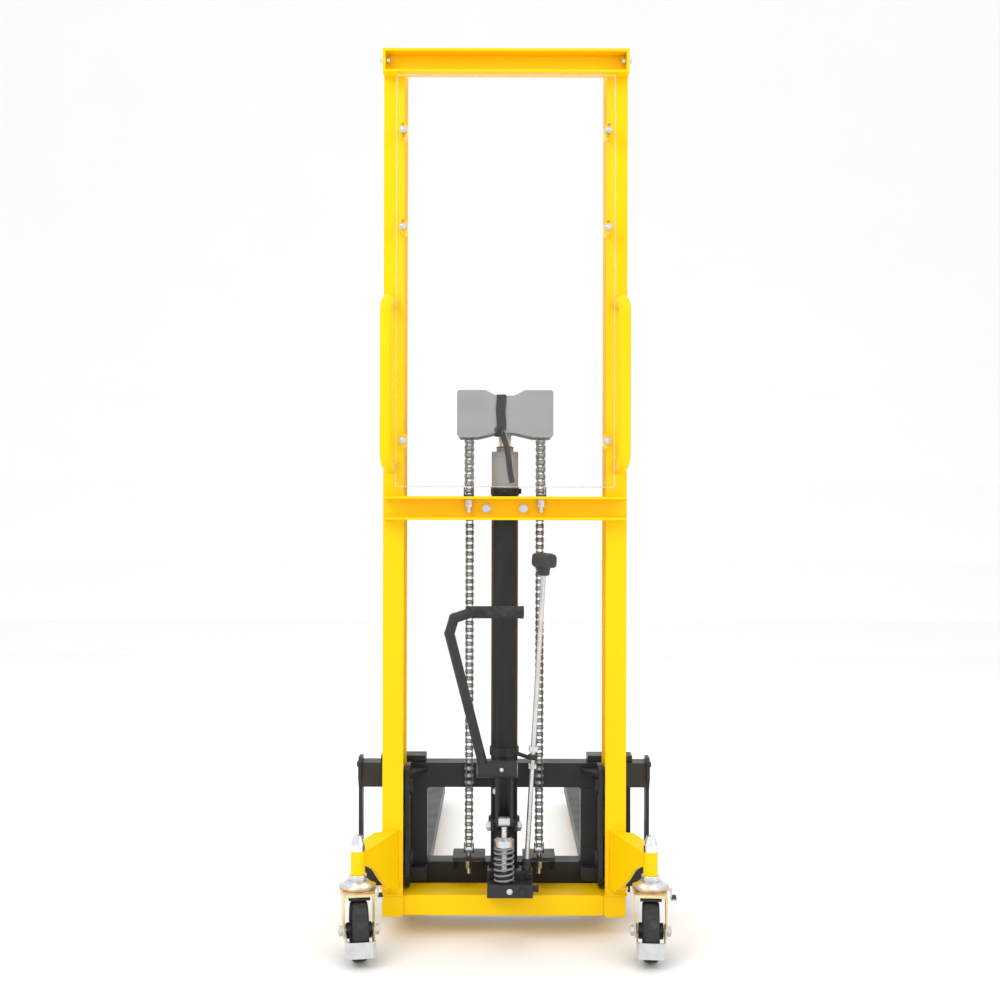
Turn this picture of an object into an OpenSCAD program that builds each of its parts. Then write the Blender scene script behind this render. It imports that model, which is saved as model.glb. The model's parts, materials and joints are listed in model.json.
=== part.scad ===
// Manual hydraulic hand stacker: a foot-pumped mast truck with two forks that straddle its legs.
// Millimetres, Z up, floor at Z = 0, mast symmetry plane at X = 0, forks pointing along +Y.
// The operator stands on the -Y side. Drawn with the forks fully lowered.

/* [Main] */
// Node to draw: one sub-part's name, or all of them

/* [Mast] */
// Height of the mast's top edge above the floor
mast_height = 1966; // [1600:2:2600]
// Width over the two upright channels
mast_width = 542; // [460:2:700]
// Width of a channel's flange, seen from the rear
flange_width = 46; // [36:1:60]
// Depth of a channel, front to rear
channel_depth = 116; // [90:1:140]
// Thickness of a channel's flanges
flange_thickness = 9; // [6:0.5:12]
// Thickness of a channel's web
web_thickness = 7; // [5:0.5:12]
// Height of the top and middle cross beams
beam_height = 52; // [40:1:80]
// How far the cross beams' lips reach back
beam_lip = 40; // [25:1:60]
// Height of the middle beam's lower edge
mid_beam_z = 930; // [800:5:1200]

/* [Guard and handles] */
// Height of the clear guard panel's lower edge
panel_low = 1003; // [900:1:1200]
// Gap between the panel and the uprights' rear faces
panel_standoff = 38; // [25:1:60]
// Thickness of the clear guard panel
panel_thickness = 4; // [3:0.5:6]
// Outside diameter of a grab handle's tube
handle_tube = 27; // [20:1:34]
// Height over a grab handle
handle_height = 390; // [200:5:600]
// How far the grip stands behind the upright
handle_reach = 70; // [50:1:100]

/* [Base and legs] */
// Height of the base beam's top above the floor
base_top = 95; // [80:1:130]
// Distance of a leg's centre line from the mast's centre
leg_offset = 246.5; // [200:0.5:300]
// Width of a straddle leg
leg_width = 53; // [40:1:70]
// Distance from the mast's rear face to the load roller's axle
load_axle_y = 1262; // [900:1:1400]
// Diameter of a load roller
load_roller_d = 74; // [60:1:90]

/* [Lift] */
// Outside diameter of the lift cylinder
cylinder_d = 60; // [50:1:80]
// Diameter of the ram
ram_d = 28; // [22:1:40]
// Distance of the cylinder's axis in front of the mast's rear face
cylinder_y = 36; // [30:1:60]
// Height of the chain wheels' axle with the ram down
sheave_z = 1153; // [1100:1:1250]
// Distance of a chain from the mast's centre
chain_offset = 80; // [60:1:110]
// Pitch of the roller chain
chain_pitch = 15.875; // [12.7:0.005:19.05]

/* [Carriage and forks] */
// Width over the carriage
carriage_width = 660; // [560:2:800]
// Height of a carriage bar
bar_height = 56; // [40:1:80]
// Depth of a carriage bar
bar_depth = 55; // [30:1:70]
// Height of the upper carriage bar's lower edge
upper_bar_z = 308; // [250:1:400]
// Width of a fork
fork_width = 104; // [80:1:160]
// Length of a fork in front of its shank
fork_length = 1150; // [800:10:1200]
// Height of the lowered forks' top face
fork_top = 90; // [80:1:100]
// How far the left fork is pushed in towards the middle
fork_shift = 12; // [0:1:13]
// Diameter of a mast roller
mast_roller_d = 97; // [70:0.5:110]

/* [Casters] */
// Diameter of a steering caster's wheel
caster_d = 125; // [100:5:160]
// Distance of a caster's swivel axis from the mast's centre
caster_x = 314; // [280:1:340]
// Distance of the swivel axis behind the mast's rear face
caster_y = 108; // [80:1:140]
// How far the wheel's axle trails the swivel axis
caster_trail = 38; // [20:1:50]
// How far the left caster stands turned in, in degrees
turn_in_left = 10; // [0:1:15]
// How far the right caster stands turned in, in degrees
turn_in_right = 5; // [0:1:15]

/* [Pump] */
// Height of the foot lever's pivot
pedal_pivot_z = 250; // [230:1:280]
// Length of the foot lever, pivot to foot bar
pedal_length = 528; // [400:1:600]
// Lean of the foot lever from upright, in degrees
pedal_lean = 21.66; // [10:0.1:35]
// Distance of the pump plunger's axis behind the mast's rear face
plunger_y = 45; // [35:1:60]
// Turns of the pump's return spring
spring_turns = 6; // [4:1:9]

/* [Hidden] */
$fn = 48;
clearance = 0.4;
half_width = mast_width / 2;
flange_in = half_width - flange_width;
web_in = half_width - web_thickness;
panel_high = mast_height - beam_height - 8;
bar_y = 130;
bar_front = bar_y + bar_depth;
lower_bar_z = 79;
carriage_half = carriage_width / 2;
shank_front = bar_front + 32;
fork_tip = shank_front + fork_length;
rear_reach = caster_y + caster_trail + 68;
mast_y = -(fork_tip - rear_reach) / 2;
sheave_r = chain_pitch / (2 * sin(9));
chain_rear_y = cylinder_y - sheave_r;
chain_front_y = cylinder_y + sheave_r;
front_links = 61;
chain_links = 20 + front_links;
anchor_rear_z = sheave_z - 10 * chain_pitch;
anchor_front_z = sheave_z - front_links * chain_pitch;
roller_y = channel_depth / 2;
roller_z = [165, 325];
lug_z = [1104, 1574, 1787];
handle_z = 1035;
wheel_r = caster_d / 2;
rod_foot = [50, -12, 170];
rod_head = [84.5, -60, 818];
yellow = [0.98, 0.78, 0.02];
black = [0.10, 0.10, 0.11];
zinc = [0.74, 0.75, 0.77];
gold_zinc = [0.80, 0.66, 0.36];
chrome = [0.86, 0.87, 0.88];
grey = [0.52, 0.53, 0.54];

// ---- helpers ----

// Everything is drawn from the mast's rear face, then moved to the part's own origin.
module from_mast() translate([0, mast_y, 0]) children();

// Draws the right-hand piece, or its mirror image on the left.
module on_side(side) mirror([side < 0 ? 1 : 0, 0, 0]) children();

// Block between two corners.
module block(low, high) translate(low) cube(high - low);

// Cylinders along X and Y.
module bar_x(d, x0, x1, y, z) translate([x0, y, z]) rotate([0, 90, 0]) cylinder(d = d, h = x1 - x0);
module bar_rear(d, y0, y1, x, z) translate([x, y0, z]) rotate([-90, 0, 0]) cylinder(d = d, h = y1 - y0);

// Moves a shape drawn up the Z axis so that it starts at p and points to q.
module along(p, q) {
    v = q - p;
    translate(p)
        rotate([0, acos(v.z / norm(v)), atan2(v.y, v.x)])
            children();
}

// Round bar from p to q.
module strut(p, q, d) along(p, q) cylinder(d = d, h = norm(q - p));

// Oblong outline, centred, long side along Y.
function oblong_points(w, l) = [
    for (k = [0 : 8]) [w / 2 * cos(k * 22.5), (l - w) / 2 + w / 2 * sin(k * 22.5)],
    for (k = [0 : 8]) [-w / 2 * cos(k * 22.5), -(l - w) / 2 - w / 2 * sin(k * 22.5)]
];

// Plate drawn in the side view (y, z), standing between x0 and x1.
module side_plate_shape(points, x0, x1)
    translate([x0, 0, 0])
        rotate([90, 0, 90])
            linear_extrude(x1 - x0)
                polygon(points);

// Plate drawn in the rear view (x, z), standing between y0 and y1.
module rear_plate_shape(points, y0, y1)
    translate([0, y1, 0])
        rotate([90, 0, 0])
            linear_extrude(y1 - y0)
                polygon(points);

// Hexagon head or nut, w across flats.
module hex(w, h) rotate([0, 0, 30]) cylinder(d = w / cos(30), h = h, $fn = 6);

// ---- mast ----

module upright(side) from_mast() on_side(side) color(yellow) difference() {
    union() {
        block([flange_in, 0, base_top], [half_width, channel_depth, mast_height]);
        for (z = lug_z)
            translate([flange_in, 2, z])
                rotate([90, 0, 0])
                    linear_extrude(panel_standoff + 2)
                        polygon(oblong_points(16, 32));
    }
    block(
        [flange_in - 1, flange_thickness, base_top - 1],
        [web_in, channel_depth - flange_thickness, mast_height + 1]
    );
    block([flange_in - 12, flange_thickness - 0.01, 0], [flange_in, 60, mast_height + 1]);
    for (z = lug_z)
        bar_rear(7, -panel_standoff - 1, -panel_standoff + 22, flange_in, z);
}

module upright_left() upright(-1);
module upright_right() upright(1);

// Cross beam: web against the uprights, lips reaching back.
module cross_beam(half, low) difference() {
    block([-half, -beam_lip, low], [half, 0, low + beam_height]);
    block([-half - 1, -beam_lip - 1, low + 6], [half + 1, -6, low + beam_height - 6]);
}

// Top beam, with a bolted plate closing each end.
module top_beam() from_mast() color(yellow) {
    low = mast_height - beam_height;
    cross_beam(half_width, low);
    for (side = [-1, 1]) on_side(side) difference() {
        block([half_width - 6, -beam_lip, low], [half_width, -1, mast_height]);
        bar_x(9, half_width - 7, half_width + 1, -beam_lip / 2, mast_height - 20);
    }
}

module mid_beam() from_mast() color(yellow) difference() {
    cross_beam(half_width - 3, mid_beam_z);
    for (side = [-1, 1]) {
        translate([side * chain_offset, chain_rear_y, mid_beam_z + 20]) cylinder(d = 13, h = 60);
        bar_rear(8.6, -7, 1, side * 41, mid_beam_z + 25);
    }
}

module base_beam() from_mast() color(yellow)
    block([-leg_offset + 28.5, 0, 50], [leg_offset - 28.5, 97, base_top]);

module leg(side) from_mast() on_side(side) color(yellow) {
    difference() {
        union() {
            rear_plate_shape(
                [
                    [leg_offset - 28.5, 56], [leg_offset - 18, 46], [half_width, 46],
                    [half_width, base_top], [leg_offset - 28.5, base_top]
                ],
                0, 125
            );
            block(
                [leg_offset - leg_width / 2, 120, 42],
                [leg_offset + leg_width / 2, load_axle_y - 52, 76]
            );
            for (s = [-1, 1])
                side_plate_shape(
                    [
                        [load_axle_y - 90, 42], [load_axle_y - 90, 74], [load_axle_y - 40, 74],
                        [load_axle_y + 18, 62], [load_axle_y + 30, 48], [load_axle_y + 30, 28],
                        [load_axle_y + 18, 16], [load_axle_y - 18, 16], [load_axle_y - 60, 42]
                    ],
                    leg_offset + s * 27 - 3, leg_offset + s * 27 + 3
                );
            bar_x(16, leg_offset - 32, leg_offset + 32, load_axle_y, load_roller_d / 2);
        }
        block(
            [leg_offset - leg_width / 2 + 5, 130, 36],
            [leg_offset + leg_width / 2 - 5, load_axle_y - 60, 71]
        );
    }
}

module leg_left() leg(-1);
module leg_right() leg(1);

// Arm from the upright's rear face to the caster's stem tube.
module caster_bracket(side) from_mast() on_side(side) color(yellow) {
    root = flange_in + 13;
    arm = norm([caster_x - root, caster_y]);
    turn = atan2(-caster_y, caster_x - root);
    difference() {
        translate([root, 0, 0])
            rotate([0, 0, turn]) {
                translate([0, 5, 0])
                    rotate([90, 0, 0])
                        linear_extrude(9)
                            polygon([
                                [-12, 109], [14, 109], [34, 118], [58, 140], [80, 168], [98, 180],
                                [arm - 10, 186], [arm - 10, 204], [-12, 240]
                            ]);
                translate([0, 42, 0])
                    rotate([90, 0, 0])
                        linear_extrude(46)
                            polygon([[-40, 242], [-40, 250], [arm - 4, 209], [arm - 4, 201]]);
                translate([0, 30, 0])
                    rotate([90, 0, 0])
                        linear_extrude(34)
                            polygon([[-30, 109], [-30, 115], [24, 115], [24, 109]]);
            }
        block([0, 0, 0], [500, 200, 300]);
        block([0, -300, 0], [flange_in + 2, 1, 300]);
        block([caster_x + 12, -300, 190], [500, 1, 300]);
        translate([caster_x, -caster_y, 160]) cylinder(d = 30, h = 70);
    }
    translate([caster_x, -caster_y, 171]) difference() {
        cylinder(d = 31, h = 50);
        translate([0, 0, -1]) cylinder(d = 22, h = 52);
    }
}

module caster_bracket_left() caster_bracket(-1);
module caster_bracket_right() caster_bracket(1);

module kingpin(side) from_mast() translate([side * caster_x, -caster_y, 0]) color(chrome) {
    translate([0, 0, 142.4]) cylinder(d = 76, h = 6.6);
    translate([0, 0, 148.9]) cylinder(d1 = 76, d2 = 46, h = 9);
    translate([0, 0, 157.8]) cylinder(d = 38, h = 13.1);
    translate([0, 0, 170]) cylinder(d = 21.8, h = 51.2);
    translate([0, 0, 221.1]) cylinder(d = 31, h = 14);
    translate([0, 0, 235]) cylinder(d1 = 31, d2 = 18, h = 19);
}

module kingpin_left() kingpin(-1);
module kingpin_right() kingpin(1);

// Lower half of a D-shaped tube handle, measured from its middle.
module half_handle(x, half) {
    r = handle_tube / 2;
    bend = 30;
    translate([x, 0, r - half]) rotate([90, 0, 0]) cylinder(r = r, h = handle_reach + 4 - bend);
    translate([x, -handle_reach - 4, r - half + bend]) cylinder(r = r, h = half - r - bend);
    translate([x, -handle_reach - 4 + bend, r - half + bend])
        rotate([180, 90, 0])
            rotate_extrude(angle = 90)
                translate([bend, 0])
                    circle(r = r);
}

module grab_handle(side) from_mast() on_side(side) color(yellow) difference() {
    translate([half_width - 21, 0, handle_z + handle_height / 2])
        rotate([0, 0, 8])
            for (flip = [0, 1])
                mirror([0, 0, flip])
                    translate([0, 4, 0])
                        half_handle(0, handle_height / 2);
    block([0, 0, handle_z - 20], [half_width + 60, 60, handle_z + handle_height + 20]);
}

module grab_handle_left() grab_handle(-1);
module grab_handle_right() grab_handle(1);

module guard_panel() from_mast() color([0.85, 0.88, 0.88, 0.35]) difference() {
    block(
        [-half_width + 31, -panel_standoff - panel_thickness, panel_low],
        [half_width - 31, -panel_standoff, panel_high]
    );
    for (side = [-1, 1], z = lug_z)
        bar_rear(7.4, -panel_standoff - 5, -panel_standoff + 1, side * flange_in, z);
}

module frame_bolts() from_mast() color(zinc) for (side = [-1, 1]) {
    face = -panel_standoff - panel_thickness;
    for (z = lug_z) {
        translate([side * flange_in, face, z]) rotate([90, 0, 0]) cylinder(d = 16, h = 1.5);
        translate([side * flange_in, face - 1.4, z]) rotate([90, 0, 0]) cylinder(d = 11, h = 4);
        bar_rear(6.8, face - 1, -panel_standoff + 20, side * flange_in, z);
    }
    on_side(side) {
        translate([half_width, -beam_lip / 2, mast_height - 20]) rotate([0, 90, 0]) hex(13, 6);
        bar_x(8.6, half_width - 12, half_width + 1, -beam_lip / 2, mast_height - 20);
        translate([half_width - 15, -beam_lip / 2, mast_height - 20])
            rotate([0, 90, 0])
                hex(13, 7);
    }
}

// ---- lift cylinder and ram ----

module lift_cylinder() from_mast() color(black) translate([0, cylinder_y, 0]) {
    difference() {
        union() {
            translate([0, 0, base_top]) cylinder(d = cylinder_d, h = 975);
            translate([0, 0, 985]) cylinder(d = cylinder_d + 4, h = 18);
            translate([0, 0, 994]) rotate([0, 90, 0]) cylinder(d = 12, h = 37);
        }
        translate([0, 0, base_top + 12]) cylinder(d = cylinder_d - 14, h = 970);
    }
}

module cylinder_gland() from_mast() color(grey) translate([0, cylinder_y, 1070]) difference() {
    union() {
        cylinder(d = cylinder_d, h = 12);
        cylinder(d = 38, h = 21);
    }
    translate([0, 0, -1]) cylinder(d = ram_d + 0.1, h = 30);
}

module cylinder_clamp() from_mast() color(zinc) {
    z = mid_beam_z + 15;
    difference() {
        union() {
            translate([0, cylinder_y, z]) cylinder(d = cylinder_d + 9, h = 20);
            block([-56, 0.3, z], [56, 6, z + 20]);
        }
        translate([0, cylinder_y, z - 1]) cylinder(d = cylinder_d + 0.1, h = 22);
        for (side = [-1, 1])
            bar_rear(8.6, -1, 8, side * 41, z + 10);
    }
    for (side = [-1, 1]) {
        bar_rear(8.2, -6, 12, side * 41, z + 10);
        translate([side * 41, -6.1, z + 10]) rotate([90, 0, 0]) cylinder(d = 20, h = 2);
        translate([side * 41, -8, z + 10]) rotate([90, 0, 0]) hex(15, 8);
        translate([side * 41, 13.2, z + 10]) rotate([90, 0, 0]) hex(13, 7);
    }
}

// Bolt with a fork end that holds a chain's last link.
module chain_anchor(z, length) {
    translate([0, 0, z]) cylinder(d = 10, h = length);
    translate([-10.8, -6, z + length - 0.5]) cube([21.6, 12, 5]);
    for (x = [-10.8, 8.6])
        translate([x, -6, z + length + 4]) cube([2.2, 12, 15]);
    translate([0, 0, z + 12]) hex(14, 7);
    translate([0, 0, z + 19.5]) hex(14, 9);
}

module mast_chain_anchors() from_mast() color(zinc) for (side = [-1, 1])
    translate([side * chain_offset, chain_rear_y, 0])
        chain_anchor(mid_beam_z + 16, 37);

// ---- pump ----

module pump_block() from_mast() color(black) {
    difference() {
        union() {
            block([-37, -22, base_top + 1], [63, -0.3, 155]);
            block([-37, -72, 109], [63, -21, 137]);
            block([-37, -0.5, base_top + 0.2], [-34, 40, 150]);
            block([34, -0.5, base_top + 0.2], [63, 40, 150]);
            translate([0, -plunger_y, 136]) cylinder(d = 34, h = 24);
            translate([rod_foot.x - 1, rod_foot.y + 1, 154]) cylinder(d = 20, h = 3.2);
            bar_x(15, 60, 76, -48, 123);
        }
        translate([0, -plunger_y, 112]) cylinder(d = 13.1, h = 70);
    }
    translate([40, -71.9, 123]) rotate([90, 0, 0]) hex(14, 6);
}

// Return spring under the plunger's cap.
module pump_spring() from_mast() translate([0, -plunger_y, 137.2]) color(black) {
    rise = (215.8 - 137.2 - 4.4) / spring_turns;
    for (k = [0 : spring_turns - 1])
        translate([0, 0, k * rise])
            spring_turn(rise);
}

// One turn: a flat ring and the short rise to the next.
module spring_turn(rise) {
    rotate_extrude()
        translate([20.5, 2.2])
            circle(d = 4.4);
    translate([20.5, 0, 2.2]) cylinder(d = 3.6, h = rise);
}

module pedal_bracket() from_mast() color(black) {
    z = pedal_pivot_z;
    difference() {
        union() {
            translate([0, cylinder_y, z - 12]) cylinder(d = cylinder_d + 10, h = 24);
            for (side = [-1, 1])
                side_plate_shape(
                    [[14, z - 12], [14, z + 12], [-8, z + 12], [-17, z + 5], [-17, z - 8], [-8, z - 12]],
                    side * 26 - 4, side * 26 + 4
                );
        }
        translate([0, cylinder_y, z - 13]) cylinder(d = cylinder_d + 0.1, h = 26);
        block([-20.5, -30, z - 13], [20.5, 14, z + 13]);
    }
    bar_x(12, -36, 36, -5, z);
    translate([30, -5, z]) rotate([0, 90, 0]) hex(19, 7);
    translate([-37, -5, z]) rotate([0, 90, 0]) hex(19, 7);
}

module rod_guide() from_mast() color(black) {
    eye = rod_foot + (rod_head - rod_foot) * 0.36;
    far = rod_foot + (rod_head - rod_foot) * 0.376;
    difference() {
        union() {
            translate([0, cylinder_y, 402]) cylinder(d = cylinder_d + 6, h = 18);
            strut([20, 12, 411], eye + [-4, 2, 2], 9);
            along(eye, far) cylinder(d = 21, h = norm(far - eye));
        }
        translate([0, cylinder_y, 401]) cylinder(d = cylinder_d + 0.1, h = 20);
        along(rod_foot, rod_head) cylinder(d = 11.2, h = 400);
    }
}

module pump_plunger() from_mast() translate([0, -plunger_y, 0]) color(zinc) {
    translate([0, 0, 152]) cylinder(d = 13, h = 106.6);
    translate([0, 0, 216]) cylinder(d = 44, h = 13);
    translate([0, 0, 228.9]) cylinder(d1 = 44, d2 = 28, h = 7);
}

// Foot lever, drawn upright from its pivot and then leaned back.
module pedal_lever() from_mast() translate([0, -5, pedal_pivot_z]) rotate([pedal_lean, 0, 0])
    color(black) {
        difference() {
            union() {
                for (side = [-1, 1])
                    side_plate_shape(
                        [
                            [-12, -8], [-5, -13], [4, -13], [10, -8], [13, 30], [13, 150],
                            [-13, 150], [-13, 60], [-34, 46], [-41, 34], [-38, 24], [-30, 20]
                        ],
                        side * 16.5 - 3, side * 16.5 + 3
                    );
                bar_x(37, -59, 28, 0.4, 147.3);
            }
            bar_x(12.2, -30, 30, 0, 0);
        }
        bar_x(8, -25, -13, -29.8, 33.3);
        bar_x(8, 13, 25, -29.8, 33.3);
        bar_x(24.5, -79, 37, 0, pedal_length);
        strut([-70, 0, pedal_length - 1], [-106, 0, pedal_length - 14], 21.4);
        translate([-106, 0, pedal_length - 14]) sphere(d = 22.4);
        strut([-106, 0, pedal_length - 14], [-116, 0, pedal_length - 50], 21.4);
        translate([-116, 0, pedal_length - 50]) sphere(d = 22.4);
        strut([-116, 0, pedal_length - 50], [-45, 0, 152], 21.4);
    }

module pedal_roller() from_mast() translate([0, -5, pedal_pivot_z]) rotate([pedal_lean, 0, 0])
    color(zinc) {
        bar_x(22, -12.5, 12.5, -29.8, 33.3);
    }

module release_rod() from_mast() color(zinc) {
    along(rod_foot, rod_head) {
        translate([0, 0, -12]) cylinder(d = 11, h = norm(rod_head - rod_foot) + 12);
        translate([0, 0, 238 + 14]) hex(19, 12);
        translate([0, 0, 238 - 24]) hex(17, 9);
    }
}

module release_knob() from_mast() color(black) along(rod_head, rod_head + (rod_head - rod_foot))
    difference() {
        union() {
            translate([0, 0, -8]) cylinder(d = 28, h = 20);
            translate([0, 0, 11]) cylinder(d = 57, h = 24);
            translate([0, 0, 34.9]) cylinder(d1 = 53, d2 = 40, h = 6);
        }
        for (k = [0 : 5])
            rotate([0, 0, k * 60])
                translate([32, 0, 8])
                    cylinder(d = 16, h = 36);
        translate([0, 0, -9]) cylinder(d = 11, h = 9.2);
    }

// ---- lift head and chains ----

module ram_rod() from_mast() color(chrome) translate([0, cylinder_y, 0]) {
    translate([0, 0, 320]) cylinder(d = cylinder_d - 14.2, h = 22);
    translate([0, 0, 341.9]) cylinder(d = ram_d, h = 1124.9 - 341.9);
}

module head_yoke() from_mast() color(black) {
    block([-30, cylinder_y - 24, 1125], [30, cylinder_y + 24, sheave_z + 25]);
    bar_x(20, -103, 103, cylinder_y, sheave_z);
}

// Bow-tie plates in front of and behind the chain wheels, joined over the top and at the ends.
module head_guard() from_mast() color(grey) {
    bow_tie = [
        [-106, 1117], [-102, 1112], [-62, 1112], [-20, 1122], [20, 1122], [62, 1112], [102, 1112],
        [106, 1117], [106, 1212], [102, 1216], [44, 1216], [20, 1204], [-20, 1204], [-44, 1216],
        [-102, 1216], [-106, 1212]
    ];
    rear_plate_shape(bow_tie, -31, -28);
    rear_plate_shape(bow_tie, 101, 104);
    for (side = [-1, 1]) on_side(side) {
        block([44, -28.1, 1213], [102, 101.1, 1216]);
        block([103, -28.1, 1118], [106, 101.1, 1211]);
    }
}

// Webbing strap tied round the middle of the head.
module head_strap() from_mast() color(black) {
    rear_plate_shape(
        [[-20, 1120], [2, 1120], [2, 1206], [-20, 1206]],
        -33.2, -31.2
    );
    block([-20, -33.2, 1204.2], [2, 106.2, 1206.2]);
    block([-20, 104.2, 1119], [2, 106.2, 1206]);
    block([-20, -33.2, 1119], [2, -16, 1121]);
    block([-20, 90, 1119], [2, 106.2, 1121]);
    block([-16, -37, 1114], [4, -32.2, 1132]);
    rear_plate_shape(
        [[-10, 1122], [2, 1128], [28, 1014], [17, 1008]],
        -35.2, -33.4
    );
}

module sheave(side) from_mast() translate([side * chain_offset, cylinder_y, sheave_z])
    rotate([0, 90, 0]) color(zinc) difference() {
        union() {
            translate([0, 0, -4]) cylinder(r = sheave_r - 5.4, h = 8);
            translate([0, 0, -12]) cylinder(d = 38, h = 24);
            for (k = [0 : 19])
                rotate([0, 0, k * 18 + 9])
                    translate([sheave_r - 8, -1.8, -3.6])
                        cube([9.5, 3.6, 7.2]);
        }
        translate([0, 0, -13]) cylinder(d = 20.1, h = 26);
    }

module sheave_left() sheave(-1);
module sheave_right() sheave(1);

// Joint k of a chain, as (y, z): up the rear strand, over the wheel, down the front strand.
function chain_joint(k) =
    k <= 10 ? [chain_rear_y, sheave_z - (10 - k) * chain_pitch]
    : k <= 20 ? [cylinder_y - sheave_r * cos((k - 10) * 18), sheave_z + sheave_r * sin((k - 10) * 18)]
    : [chain_front_y, sheave_z - (k - 20) * chain_pitch];

// Link plate from the origin up to the next joint, standing between x0 and x1.
module link_plate(x0, x1)
    side_plate_shape(
        [
            [-6.6, -2], [-3.5, -6], [3.5, -6], [6.6, -2], [5.6, chain_pitch / 2],
            [6.6, chain_pitch + 2], [3.5, chain_pitch + 6], [-3.5, chain_pitch + 6],
            [-6.6, chain_pitch + 2], [-5.6, chain_pitch / 2]
        ],
        x0, x1
    );

module lift_chain(side) from_mast() translate([side * chain_offset, 0, 0]) color(black)
    for (k = [0 : chain_links - 1]) {
        p = chain_joint(k);
        q = chain_joint(k + 1);
        translate([0, p.x, p.y])
            rotate([atan2(q.y - p.y, q.x - p.x) - 90, 0, 0])
                if (k % 2 == 0) {
                    for (x = [-7, 4.8])
                        link_plate(x, x + 2.2);
                    bar_x(10.16, -5, 5, 0, 0);
                    bar_x(10.16, -5, 5, 0, chain_pitch);
                } else {
                    for (x = [-8.3, 7.2])
                        link_plate(x, x + 1.1);
                }
    }

module lift_chain_left() lift_chain(-1);
module lift_chain_right() lift_chain(1);

// ---- carriage ----

// Box-section bar across the carriage.
module carriage_bar(low) difference() {
    block([-carriage_half, bar_y, low], [carriage_half, bar_front, low + bar_height]);
    block(
        [-carriage_half + 6, bar_y + 6, low + 6],
        [carriage_half - 6, bar_front - 6, low + bar_height - 6]
    );
}

module upper_bar() from_mast() color(black) carriage_bar(upper_bar_z);

module lower_bar() from_mast() color(black) {
    carriage_bar(lower_bar_z);
    for (side = [-1, 1]) on_side(side) {
        difference() {
            block([chain_offset - 37, 70, 152], [chain_offset + 37, bar_y + 22, 160]);
            translate([chain_offset, chain_front_y, 150]) cylinder(d = 13, h = 12);
        }
        for (x = [chain_offset - 34, chain_offset + 28])
            side_plate_shape(
                [[84, 152.1], [bar_y - 0.1, 118], [bar_y + 0.1, 118], [bar_y + 0.1, 134],
                 [bar_y + 20, 134], [bar_y + 20, 152.1]],
                x, x + 6
            );
    }
}

module mast_roller_side(side) from_mast() on_side(side) color(black) {
    side_plate_shape(
        [
            [30, 126], [42, 104], [56, 99], [96, 99], [bar_y - 0.3, 112], [bar_y - 0.3, 338],
            [112, 340], [112, 364], [100, 372], [52, 374], [36, 366], [30, 350]
        ],
        flange_in - 12, flange_in - 2
    );
    for (z = roller_z)
        bar_x(24, flange_in - 3, web_in - 2, roller_y, z);
    for (z = roller_z)
        bar_x(34, flange_in - 18, flange_in - 11, roller_y, z);
    translate([0, 0, 344])
        linear_extrude(9)
            polygon([
                [flange_in - 11, 62], [flange_in - 11, bar_y - 0.3], [flange_in - 47, bar_y - 0.3],
                [flange_in - 47, bar_y - 12]
            ]);
    rear_plate_shape(
        [
            [flange_in - 11, 99], [flange_in - 38, 99], [flange_in - 46, 103], [flange_in - 49, 111],
            [flange_in - 49, 130], [flange_in - 11, 130]
        ],
        96, bar_y - 0.3
    );
}

module side_plate_left() mast_roller_side(-1);
module side_plate_right() mast_roller_side(1);

module carriage_posts() from_mast() color(black) for (side = [-1, 1]) on_side(side) {
    block([178, bar_y, lower_bar_z + bar_height + 0.1], [222, bar_front - 5, upper_bar_z - 0.1]);
    side_plate_shape(
        [
            [bar_y + 12, 82], [bar_front - 4, 82], [bar_front - 4, 366], [bar_front - 14, 376],
            [bar_y + 6, 376], [bar_y - 6, 366], [bar_y - 6, 330], [bar_y + 12, 300]
        ],
        carriage_half + 0.1, carriage_half + 8
    );
}

module carriage_anchors() from_mast() color(zinc) for (side = [-1, 1])
    translate([side * chain_offset, chain_front_y, 0])
        chain_anchor(120.5, anchor_front_z - 120.5 - 14);

module mast_roller(side, z) from_mast() on_side(side) color(zinc) difference() {
    bar_x(mast_roller_d, flange_in + 3, web_in - 4, roller_y, z);
    bar_x(24.1, flange_in, web_in + 1, roller_y, z);
}

module mast_roller_low_left() mast_roller(-1, roller_z[0]);
module mast_roller_low_right() mast_roller(1, roller_z[0]);
module mast_roller_high_left() mast_roller(-1, roller_z[1]);
module mast_roller_high_right() mast_roller(1, roller_z[1]);

// Fork: inverted channel over the leg, shank and hook on the carriage.
module fork(side, shift) from_mast() on_side(side) color(black) {
    half = fork_width / 2;
    back = bar_front + clearance;
    hook = upper_bar_z + bar_height + clearance;
    translate([leg_offset - shift, 0, 0]) {
        difference() {
            translate([0, 0, 49])
                linear_extrude(fork_top - 49)
                    polygon([
                        [-half, back], [half, back], [half, fork_tip - 70], [half - 14, fork_tip - 24],
                        [half - 34, fork_tip], [34 - half, fork_tip], [14 - half, fork_tip - 24],
                        [-half, fork_tip - 70]
                    ]);
            translate([0, 0, 48])
                linear_extrude(fork_top - 5 - 48)
                    polygon([
                        [5 - half, back - 1], [half - 5, back - 1], [half - 5, fork_tip - 72],
                        [half - 18, fork_tip - 29], [half - 36, fork_tip - 5],
                        [36 - half, fork_tip - 5], [18 - half, fork_tip - 29],
                        [5 - half, fork_tip - 72]
                    ]);
            translate([-half - 1, fork_tip - 60, 49])
                rotate([24, 0, 0])
                    translate([0, 0, -60])
                        cube([fork_width + 2, 120, 60]);
        }
        block([-half, back, fork_top - 1], [half, back + 12, hook + 14]);
        block([-half, bar_y + 14, hook], [half, back + 1, hook + 14]);
        for (x = [-half, half - 5])
            side_plate_shape(
                [
                    [back + 11, fork_top - 1], [shank_front + 50, fork_top - 1],
                    [shank_front - 2, 124], [back + 17, 190], [back + 11, 240]
                ],
                x, x + 5
            );
    }
}

module fork_left() fork(-1, fork_shift);
module fork_right() fork(1, 0);

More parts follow.
